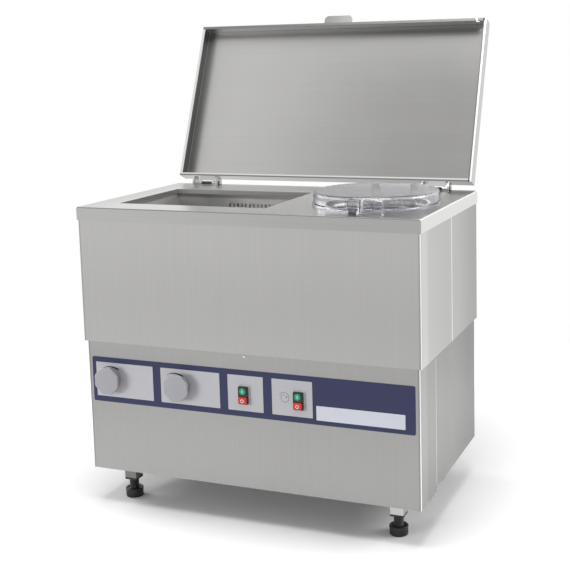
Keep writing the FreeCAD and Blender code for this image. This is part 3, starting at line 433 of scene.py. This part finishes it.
# Painted highlight: the ridges are coloured near white so that they read as bright streaks.
RIDGE_HIGHLIGHT = 0.97
ridge_steel = satin_steel("ridge_steel", "Z", RIDGE_HIGHLIGHT, rough=0.30, fine=300.0)
rise = np.linspace(*RIDGE_SPAN, RIDGE_POINTS)
for index in range(RIDGE_COUNT):
    sway = RIDGE_FIRST + index * RIDGE_PITCH + RIDGE_SWAY * np.sin(rise * 210.0 + index * 0.9)
    line = np.stack([sway, np.full(RIDGE_POINTS, RIDGE_Y), rise], axis=1)
    ridge = carried(half_round(RIDGE_WIDE, RIDGE_PROUD), line, (0.0, -1.0, 0.0))
    solid("basket_ridge_%02d" % (index + 1), *ridge, "cabinet", "satin_steel", ridge_steel)

# Spin dryer.
# Casing, drum, spindle and collar are thin bright sheet, seen only through the clear cover.



def drum_level(x, y, z):
    return z.step(0.60, 0.86) * 0.55 + 0.35


drum_steel = satin_steel("drum_steel", "Z", drum_level, rough=0.28, fine=300.0)
wear(drum_steel, "dryer_casing", "spin_drum", "drum_spindle", "dryer_collar")

# Legs and feet.
# Square tube stubs of the body's steel, closed by black plastic inserts. Each threaded stem stands
# in a round foot with a raised rim; stem and foot are black moulded plastic.

FOOT_R = 0.0262
FOOT_H = 0.0262
FOOT_REACH = 0.027  # radius of the frame's foot, whose place this one takes
REAR_FOOT_X = 0.385
STEM_R = 0.0142
THREAD_DEPTH = 0.0011
THREAD_PITCH = 0.0032
STEM_TOP = 0.0585


def plastic(name, color, rough, fleck_size=260.0, rough_spread=0.22, relief=0.0004, fade=0.12):
    """Moulded plastic: a fine skin in relief, a roughness that goes with it, a tone faded in clouds."""
    skin = Finish(bpy.data.materials.new(name), "Principled BSDF")
    fleck = skin.noise((fleck_size,) * 3, detail=3.0)
    cloud = skin.noise((9.0, 9.0, 9.0), detail=3.0, shift=(2.0, 5.0, 8.0))
    first = tuple(c * (1.0 - fade) for c in color) + (1.0,)
    second = tuple(c * (1.0 + fade) for c in color) + (1.0,)
    tint = skin.blend((cloud * 0.7 + fleck * 0.3).clamp(), first, second)
    skin.feed(Base_Color=tint, Roughness=rough + (fleck - 0.5) * rough_spread,
              Normal=skin.bump(fleck, 0.12, relief))
    return skin.owner


def leg_level(x, y, z):
    return x.step(-0.1, 0.1) * 0.34 + 0.20


black = plastic("black_plastic", (0.014, 0.013, 0.015), 0.46)
wear(satin_steel("leg_steel", "Z", leg_level, rough=0.36), "corner_posts")
wear(black, "post_inserts", "button_housings")
foot_low, foot_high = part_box("foot_discs")
front_foot_y = foot_low[1] + FOOT_REACH
rear_foot_y = foot_high[1] - FOOT_REACH
front_foot_x = foot_high[0] - FOOT_REACH
FOOT_PROFILE = np.array([
    (0.0040, 0.0), (FOOT_R - 0.0022, 0.0), (FOOT_R - 0.0006, 0.0010), (FOOT_R, 0.0026),  # sole
    (FOOT_R, 0.0180), (FOOT_R - 0.0006, 0.0188), (FOOT_R + 0.0006, 0.0200),  # wall and its groove
    (FOOT_R + 0.0006, FOOT_H - 0.0010), (FOOT_R - 0.0004, FOOT_H), (FOOT_R - 0.0045, FOOT_H),  # rim
    (FOOT_R - 0.0060, FOOT_H - 0.0018), (STEM_R + 0.0022, FOOT_H - 0.0018), (STEM_R, FOOT_H - 0.0004)])


def threaded_stem(x, y):
    """Stem surface: r(t, z) = stem radius - depth * (distance from the nearest crest) ** 1.5.

    The crests are those of a one-start screw, and the distance is 1 halfway between two of them.
    """
    spokes = 40
    levels = np.arange(FOOT_H - 0.0006, STEM_TOP, THREAD_PITCH / 8)
    t = np.arange(spokes) * 2.0 * math.pi / spokes
    turns = levels[:, None] / THREAD_PITCH - t[None, :] / (2.0 * math.pi)
    groove = np.abs((turns % 1.0) - 0.5) * 2.0
    r = STEM_R - THREAD_DEPTH * groove ** 1.5
    rise = np.repeat(levels[:, None], spokes, axis=1)
    points = np.stack([x + r * np.cos(t), y + r * np.sin(t), rise], axis=-1)
    return points.reshape(-1, 3), wrapped_faces(len(levels), spokes, False)


feet = []
for foot_name, x, y in (("front_left", -front_foot_x, front_foot_y),
                        ("front_right", front_foot_x, front_foot_y),
                        ("rear_left", -REAR_FOOT_X, rear_foot_y),
                        ("rear_right", REAR_FOOT_X, rear_foot_y)):
    foot = turned(FOOT_PROFILE, (x, y, 0.0), (0.0, 0.0, 1.0), spokes=56)
    feet.append(solid("foot_" + foot_name, *foot, "cabinet", "black_plastic", black))
    stem = threaded_stem(x, y)
    feet.append(solid("stem_" + foot_name, *stem, "cabinet", "black_plastic", black, sharp=80.0))
for foot in feet:
    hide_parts("foot_discs", "foot_stems")

# Clear dryer cover.
# One moulding of slightly blue clear plastic on two steel knuckles; a black magnet closes the lug.

clear = Finish(bpy.data.materials.new("clear_plastic"), "Principled BSDF", IOR=1.47)
clear.last.inputs["Transmission Weight"].default_value = 1.0
haze = clear.noise((38.0, 38.0, 38.0), detail=4.0)
clear_tint = clear.blend(haze, (0.89, 0.90, 0.945, 1.0), (0.95, 0.955, 0.985, 1.0))
clear.feed(Base_Color=clear_tint, Roughness=0.02 + haze * 0.05, Normal=clear.bump(haze, 0.05, 0.0006))
wear(clear.owner, "clear_cover")
wear(plastic("magnet_grey", (0.060, 0.062, 0.085), 0.40), "cover_magnet")


def hinge_level(x, y, z):
    return z.step(0.935, 0.90) * 0.10 + 0.42


hinge_steel = satin_steel("hinge_steel", "X", hinge_level, rough=0.34)
wear(hinge_steel, "cover_knuckles", "cover_ears", "lid_knuckles", "lid_ears", "knob_shafts")

# Lid.
# A folded steel tray hung on two knuckles, hemmed all round, with a grip tongue on its front edge.
# Its colour carries painted light: the panel lighter towards the left with painted shade in its corners,
# painted shade on the inner side walls, and painted highlights on the inner top wall and on the hem.

LID_LEAN = math.radians(22.8)
LID_PANEL_OUT = 0.1521
LID_FACE_OUT = 0.1976
LID_LOW = 0.9256
LID_HIGH = 1.4696
LID_SIDE_X = 0.509
HEM = 0.009


def lid_level(x, y, z):
    """up and out are the place along the leaning panel and square to it, out towards the front.

    Painted light: the panel is lighter at the left, with painted shade in its corners; of the four
    walls, the inner faces of the side ones carry painted shade and that of the top one a painted
    highlight; the hem has painted shade inside and a painted highlight at the right.
    """
    up = y * math.sin(LID_LEAN) + z * math.cos(LID_LEAN)
    out = z * math.sin(LID_LEAN) - y * math.cos(LID_LEAN)
    left = x.step(0.45, -0.50)
    low_right = x.step(-0.1, 0.5) * up.step(1.30, 0.95)
    panel = 0.235 + left * 0.245 + low_right * 0.05 - left * up.step(1.1, 1.45) * 0.02
    by_side = abs(x).step(LID_SIDE_X - 0.030, LID_SIDE_X - 0.004)
    corner = by_side.high(up.step(LID_HIGH - 0.026, LID_HIGH - 0.004))
    panel = panel * (1.0 - corner * 0.12)
    on_wall = out.band(LID_PANEL_OUT + 0.002, LID_FACE_OUT - 0.004, 0.001)
    inner = abs(x).band(LID_SIDE_X - 0.0034, LID_SIDE_X - 0.0016, 0.0008)
    top_inner = up.band(LID_HIGH - 0.0034, LID_HIGH - 0.0016, 0.0008)
    level = panel + on_wall * inner * (0.13 - panel) + on_wall * top_inner * (0.80 - panel)
    level = level + out.band(0.1845, 0.1870, 0.001) * inner * 0.40
    outer_side = abs(x).step(LID_SIDE_X - 0.0006, LID_SIDE_X - 0.0001)
    level = level + outer_side * (0.56 - level)
    face = out.step(LID_FACE_OUT - 0.0016, LID_FACE_OUT - 0.0006)
    at_top = up.step(LID_HIGH - HEM - 0.0010, LID_HIGH - HEM + 0.0006)
    at_low = up.step(LID_LOW + 0.0050, LID_LOW + 0.0036)
    at_right = x.step(LID_SIDE_X - 0.0056, LID_SIDE_X - 0.0044)
    inner_right = x.band(LID_SIDE_X - HEM - 0.0006, LID_SIDE_X - 0.0060, 0.0006)
    hem = 0.66 - at_top * 0.46 - at_low * 0.48 - inner_right * 0.50
    hem = hem + at_right * (0.88 - hem)
    return level + face * (hem.clamp() - level)


def grip_level(x, y, z):
    return x.step(-0.05, 0.06) * 0.10 + 0.27


wear(satin_steel("lid_steel", "X", lid_level, rough=0.33), "lid_shell")
wear(satin_steel("grip_steel", "X", grip_level, rough=0.32), "lid_grip")

PIVOT_Y = 0.1687
PIVOT_Z = 0.906
LID_HINGE_X = 0.400
SLEEVE_HALF = 0.0188
SLEEVE_R = 0.0052
CAP_R = 0.0068
CAP_HIGH = 0.0016
EAR_FACE = 0.044  # outer face of a hinge's ear, from its middle


def along_x(x0, x1, r):
    """Profile of a short bar along x from x0 to x1: radius r with rounded ends."""
    bevel = min(r * 0.3, 0.0012)
    start = [(r * 0.2, x0), (r - bevel, x0), (r, x0 + bevel)]
    return start + [(r, x1 - bevel), (r - bevel, x1), (r * 0.2, x1)]


for hinge_name, sign in (("left", -1.0), ("right", 1.0)):
    at = (sign * LID_HINGE_X, PIVOT_Y, PIVOT_Z)
    # Painted shade: a black sleeve fills each leaf's window, where the gap beneath the leaf lies in
    # shadow.
    sleeve = turned(along_x(-SLEEVE_HALF, SLEEVE_HALF, SLEEVE_R), at, (1.0, 0.0, 0.0), spokes=28)
    solid("hinge_shade_sleeve_" + hinge_name, *sleeve, "cabinet", "black_plastic", black)
    for end_name, end in (("inner", -sign), ("outer", sign)):
        bar = along_x(end * EAR_FACE, end * (EAR_FACE + CAP_HIGH), CAP_R)
        cap = turned(bar, at, (1.0, 0.0, 0.0), spokes=28)
        solid("pin_cap_" + hinge_name + "_" + end_name, *cap, "cabinet", "black_plastic", black)

# Control strip.
# Navy printed strip with four pale windows and a pale bar. Printed on the windows are a flow
# crescent over each knob and a spin sign; the names of the real one are left off.

STRIP_TONE = (0.016, 0.020, 0.075)
PLATE_TONE = (0.50, 0.50, 0.525)
BAR_TONE = (0.66, 0.68, 0.76)
PLATE_Y = -0.3986
PRINT_HIGH = 0.00018
SIGN_LINE = 0.00115
DOT_R = 0.0020
DOT_SHIFT = (0.0058, 0.0030)
wear(plastic("navy_print", STRIP_TONE, 0.40, fleck_size=90.0, relief=0.0001), "control_strip")
for print_name, tone, printed in (("pale_print", PLATE_TONE, "window_plates"),
                                  ("bar_print", BAR_TONE, "name_bar")):
    wear(plastic(print_name, tone, 0.42, fleck_size=120.0, relief=0.0001, fade=0.03), printed)
ink = plastic("navy_ink", (0.008, 0.009, 0.030), 0.5, fleck_size=120.0, relief=0.0001)
sign_ink = plastic("sign_ink", (0.10, 0.105, 0.20), 0.5, fleck_size=120.0, relief=0.0001)
FLAT = np.array([(-0.5, 0.0), (0.5, 0.0), (0.5, 1.0), (-0.5, 1.0)])


def arc_through(first, middle, last, count):
    """Points of the circle through three (x, z) points, from the first to the last one."""
    a, b, c = [np.asarray(v, float) for v in (first, middle, last)]
    sides = 2.0 * np.array([b - a, c - a])
    centre = np.linalg.solve(sides, [b @ b - a @ a, c @ c - a @ a])
    angles = np.unwrap([math.atan2(*(v - centre)[::-1]) for v in (a, b, c)])
    turn = np.linspace(angles[0], angles[2], count)
    return centre + np.linalg.norm(a - centre) * np.stack([np.cos(turn), np.sin(turn)], axis=1)


def on_plate(flat, y):
    """Puts (x, z) points on the upright plane y."""
    return np.stack([flat[:, 0], np.full(len(flat), y), flat[:, 1]], axis=1)


CRESCENT = ((-0.4650, 0.4185), (-0.4404, 0.4249), (-0.4107, 0.4172))  # thin end, crown, blunt end
CRESCENT_WIDE = 0.0056
CRESCENT_POINTS = 40
CRESCENT_SHIFT = (("left", (0.0, 0.0)), ("right", (0.2155, -0.0012)))
share = np.linspace(0.0, 1.0, CRESCENT_POINTS)
wide = CRESCENT_WIDE * (0.10 + 0.90 * share ** 0.8) * np.clip((1.0 - share) * 14.0, 0.25, 1.0)
for crescent_name, shift in CRESCENT_SHIFT:
    flat = arc_through(*CRESCENT, CRESCENT_POINTS) + np.array(shift)
    mark = carried(FLAT * (1.0, PRINT_HIGH), on_plate(flat, PLATE_Y), (0.0, -1.0, 0.0), wide=wide)
    solid("flow_crescent_" + crescent_name, *mark, "cabinet", "navy_print", ink)

SIGN_AT = (0.1228, 0.3847)
SIGN_RADII = ((155.0, 0.0170), (95.0, 0.0157), (0.0, 0.0128), (-90.0, 0.0123), (-180.0, 0.0118),
              (-265.0, 0.0087))  # degrees and radius of the spiral, from its outer end
SIGN_POINTS = 110
SIGN_BLUR = 13  # points over which the radius is averaged
angle = np.linspace(SIGN_RADII[0][0], SIGN_RADII[-1][0], SIGN_POINTS)
known = np.array(SIGN_RADII)[::-1]
radius = np.pad(np.interp(angle, known[:, 0], known[:, 1]), SIGN_BLUR // 2, mode="edge")
radius = np.convolve(radius, np.full(SIGN_BLUR, 1 / SIGN_BLUR), mode="valid")
spoke = np.stack([np.cos(np.radians(angle)), np.sin(np.radians(angle))], axis=1)
spiral = on_plate(np.array(SIGN_AT) + radius[:, None] * spoke, PLATE_Y)
sign_line = carried(FLAT * (SIGN_LINE, PRINT_HIGH), spiral, (0.0, -1.0, 0.0))
solid("spin_sign", *sign_line, "cabinet", "navy_print", sign_ink)
dot_at = (SIGN_AT[0] + DOT_SHIFT[0], PLATE_Y, SIGN_AT[1] + DOT_SHIFT[1])
dot_profile = [(DOT_R * 0.1, -PRINT_HIGH), (DOT_R - 0.0001, -PRINT_HIGH), (DOT_R, 0.0)]
dot = turned(dot_profile, dot_at, (0.0, 1.0, 0.0), spokes=24)
solid("spin_sign_dot", *dot, "cabinet", "navy_print", ink)

# Hand knobs.
# Light grey mouldings with eight shallow finger scallops, a gently domed face with a rounded edge,
# and a flank that narrows towards the plate.

KNOB_X = (("left", -0.436), ("right", -0.205))
KNOB_Z = 0.389
KNOB_R = 0.0413
KNOB_DOME = 0.0016  # how far the face falls back towards its edge
KNOB_EDGE = 0.0032  # radius of the rounded edge
KNOB_WAIST = 0.0110  # how far the flank narrows towards the back
KNOB_FACE_Y = -0.4316
KNOB_BACK_Y = -0.4016
KNOB_BACK_R = 0.0295
KNOB_LOBES = 8
SCALLOP_HALF = math.radians(15.5)
SCALLOP_DEEP = 0.052
KNOB_TONE = (0.37, 0.37, 0.395)
knob_grey = plastic("knob_grey", KNOB_TONE, 0.38, fleck_size=420.0, rough_spread=0.14, fade=0.03)


def scalloped(t):
    """1 on a lobe, in a scallop 1 - depth * (1 - (gap / half width) ** 2), gap from its middle."""
    pitch = 2.0 * math.pi / KNOB_LOBES
    gap = np.abs(((t - pitch / 2) % pitch) - pitch / 2)
    gap = np.minimum(gap, pitch - gap)
    return 1.0 - SCALLOP_DEEP * np.clip(1.0 - (gap / SCALLOP_HALF) ** 2, 0.0, None)


def knob_profile():
    """Face: a shallow dome. Edge: a quarter round. Flank: narrows in an S-curve to the back disc."""
    flat_r = KNOB_R - KNOB_EDGE
    flank_from = KNOB_DOME + KNOB_EDGE
    flank_long = 0.0202
    back_from = 0.0262
    deep = KNOB_BACK_Y - KNOB_FACE_Y
    share = np.linspace(0.02, 1.0, 16)
    dome = np.stack([share * flat_r, KNOB_DOME * share ** 2], axis=1)
    t = np.linspace(0.0, math.pi / 2, 8)[1:]
    edge = np.stack([flat_r + KNOB_EDGE * np.sin(t), KNOB_DOME + KNOB_EDGE * (1.0 - np.cos(t))], axis=1)
    s = np.linspace(0.0, 1.0, 14)[1:]
    narrowed = KNOB_R - KNOB_WAIST * (3 * s ** 2 - 2 * s ** 3)
    flank = np.stack([narrowed, flank_from + s * flank_long], axis=1)
    back = np.array([(KNOB_BACK_R, back_from), (KNOB_BACK_R, deep), (0.0180, deep)])
    return np.concatenate([dome, edge, flank, back])


profile = knob_profile()
hold = np.clip((profile[:, 0] - 0.028) / 0.010, 0.0, 1.0) ** 1.5
hold[-3:] = 0.0  # the back disc is round
for side_name, knob_x in KNOB_X:
    centre = (knob_x, KNOB_FACE_Y, KNOB_Z)
    shape = turned(profile, centre, (0.0, 1.0, 0.0), spokes=144, reach=scalloped, hold=hold)
    body = side_name + "_knob"
    knob = solid("lobed_knob_" + side_name, *shape, body, "knob_grey", knob_grey, sharp=50.0)
    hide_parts("knob_" + side_name)

# Push buttons.
# A light bezel carries a black housing with a round green start button marked I, a dark lens,
# and a square red stop button marked with a ring.

GREEN_TIP_Y = -0.4111
RED_TIP_Y = -0.4136
HOUSING_Y = -0.4076
BUTTON_X = (("left", -0.002), ("right", 0.166))
GREEN_Z = 0.3935
RED_Z = 0.3675
LENS_Z = 0.3808
LENS_HALF = 0.0125
BAR_HALF = 0.0042
BAR_WIDE = 0.0024
RING_R = 0.0043
RING_WIDE = 0.0019
MARK_HIGH = 0.00022
wear(plastic("bezel_grey", (0.52, 0.52, 0.53), 0.42, fade=0.03), "button_bezels")
green = plastic("green_plastic", (0.012, 0.36, 0.19), 0.32, fade=0.06)
red = plastic("red_plastic", (0.62, 0.035, 0.022), 0.34, fade=0.06)
white_ink = plastic("mark_white", (0.72, 0.74, 0.72), 0.45, fleck_size=120.0, relief=0.0001, fade=0.03)
lens = plastic("lens_dark", (0.028, 0.050, 0.050), 0.22, relief=0.0001)
turns = np.arange(48) * 2.0 * math.pi / 48
for side_name, x in BUTTON_X:
    wear(green, "green_button_" + side_name)
    wear(red, "red_button_" + side_name)
    bar = np.array([(x, GREEN_Z - BAR_HALF), (x, GREEN_Z + BAR_HALF)])
    mark = carried(FLAT * (BAR_WIDE, MARK_HIGH), on_plate(bar, GREEN_TIP_Y), (0.0, -1.0, 0.0))
    solid("start_mark_" + side_name, *mark, side_name + "_green", "pale_print", white_ink)
    ring_line = np.stack([x + RING_R * np.cos(turns), RED_Z + RING_R * np.sin(turns)], axis=1)
    band = FLAT * (RING_WIDE, MARK_HIGH)
    ring = carried(band, on_plate(ring_line, RED_TIP_Y), (0.0, -1.0, 0.0), ring=True)
    solid("stop_mark_" + side_name, *ring, side_name + "_red", "pale_print", white_ink)
    strip = np.array([(x - LENS_HALF, LENS_Z), (x + LENS_HALF, LENS_Z)])
    window = carried(half_round(0.0046, 0.0006), on_plate(strip, HOUSING_Y), (0.0, -1.0, 0.0))
    solid("lens_" + side_name, *window, "cabinet", "black_plastic", lens)

# Room.
# A pale floor that fades to white away from the machine, and white surroundings. The light is soft:
# a wide lamp above, one at each side, and a broad fill from the front left.

FLOOR_REACH = 400.0
FLOOR_TONE = 0.62
FLOOR_SEEN = 0.42  # added to the tone where the camera sees the floor
FLOOR_FADE = (1.0, 2.0)  # distances from the middle between which the seen floor turns white
ROOM_LEVEL = 0.40  # light from the surroundings, which are seen at 1
SKY_LAMP = 112.0
FILL_LAMP = 140.0
SIDE_LAMPS = (("right_side", (3.6, 0.7, 2.2), (0.6, 0.0, 0.0), 64.0),
              ("left_side", (-3.6, 0.3, 2.2), (-0.6, -0.1, 0.0), 56.0))


def stage_plane(name, corners, material):
    """A flat four-cornered stage piece."""
    mesh = bpy.data.meshes.new(name)
    mesh.from_pydata([tuple(c) for c in corners], [], [(0, 1, 2, 3)])
    obj = bpy.data.objects.new(name, mesh)
    bpy.context.scene.collection.objects.link(obj)
    obj.data.materials.append(material)
    return obj


floor_paint = Finish(bpy.data.materials.new("floor_pale"), "Principled BSDF",
                     Roughness=0.9, Emission_Strength=1.0)
floor_paint.last.inputs["Specular IOR Level"].default_value = 0.0
floor_x, floor_y, floor_z = floor_paint.axes()
away = ((floor_x ** 2.0 + floor_y ** 2.0) ** 0.5).step(*FLOOR_FADE)
seen = floor_paint.plain_rays()
floor_tone = (FLOOR_TONE + seen * FLOOR_SEEN) * (1.0 - away * seen)
floor_paint.feed(Base_Color=floor_tone, Emission_Color=away * seen)
near, far = -FLOOR_REACH, FLOOR_REACH
stage_plane("floor", [(near, near, 0), (far, near, 0), (far, far, 0), (near, far, 0)], floor_paint.owner)

bpy.context.scene.world = bpy.data.worlds.new("studio")
studio = Finish(bpy.context.scene.world, "Background", Color=(1.0, 1.0, 1.0, 1.0))
studio.feed(Strength=ROOM_LEVEL + studio.plain_rays() * (1.0 - ROOM_LEVEL))


def soft_lamp(name, at, target, width, height, power):
    """A rectangular soft light aimed at a point."""
    data = bpy.data.lights.new(name, "AREA")
    data.shape = "RECTANGLE"
    data.size = width
    data.size_y = height
    data.energy = power
    obj = bpy.data.objects.new(name, data)
    obj.location = at
    obj.rotation_euler = (Vector(target) - Vector(at)).to_track_quat("-Z", "Y").to_euler()
    bpy.context.scene.collection.objects.link(obj)
    return obj


soft_lamp("overhead", (0.1, -0.5, 4.3), (0.0, -0.2, 0.0), 2.4, 2.0, SKY_LAMP)
for lamp_name, at, target, power in SIDE_LAMPS:
    soft_lamp(lamp_name, at, target, 2.0, 1.2, power)
fill = soft_lamp("fill", (-3.4, -5.0, 0.9), (0.0, -0.3, 0.5), 2.6, 1.2, FILL_LAMP)
fill.visible_glossy = False

# Camera.
# A long lens in front of the machine and to its right, a little above its worktop, with a small
# shift that keeps the uprights nearly parallel.

CAMERA_AT = (1.31921, -3.01332, 1.32118)
CAMERA_YAW = 21.1867
CAMERA_PITCH = 82.3511
CAMERA_ROLL = -1.2187
CAMERA_LENS = 67.677
CAMERA_SHIFT = (-0.1000, -0.1500)
camera_data = bpy.data.cameras.new("camera")
camera_data.sensor_width = 36.0
camera_data.lens = CAMERA_LENS
camera_data.shift_x = CAMERA_SHIFT[0]
camera_data.shift_y = CAMERA_SHIFT[1]
camera_data.clip_end = 2000.0
camera = bpy.data.objects.new("camera", camera_data)
yaw = Matrix.Rotation(math.radians(CAMERA_YAW), 4, "Z")
pitch = Matrix.Rotation(math.radians(CAMERA_PITCH), 4, "X")
roll = Matrix.Rotation(math.radians(CAMERA_ROLL), 4, "Z")
camera.matrix_world = Matrix.Translation(CAMERA_AT) @ yaw @ pitch @ roll
bpy.context.scene.collection.objects.link(camera)
bpy.context.scene.camera = camera
bpy.context.scene.view_settings.view_transform = "Standard"
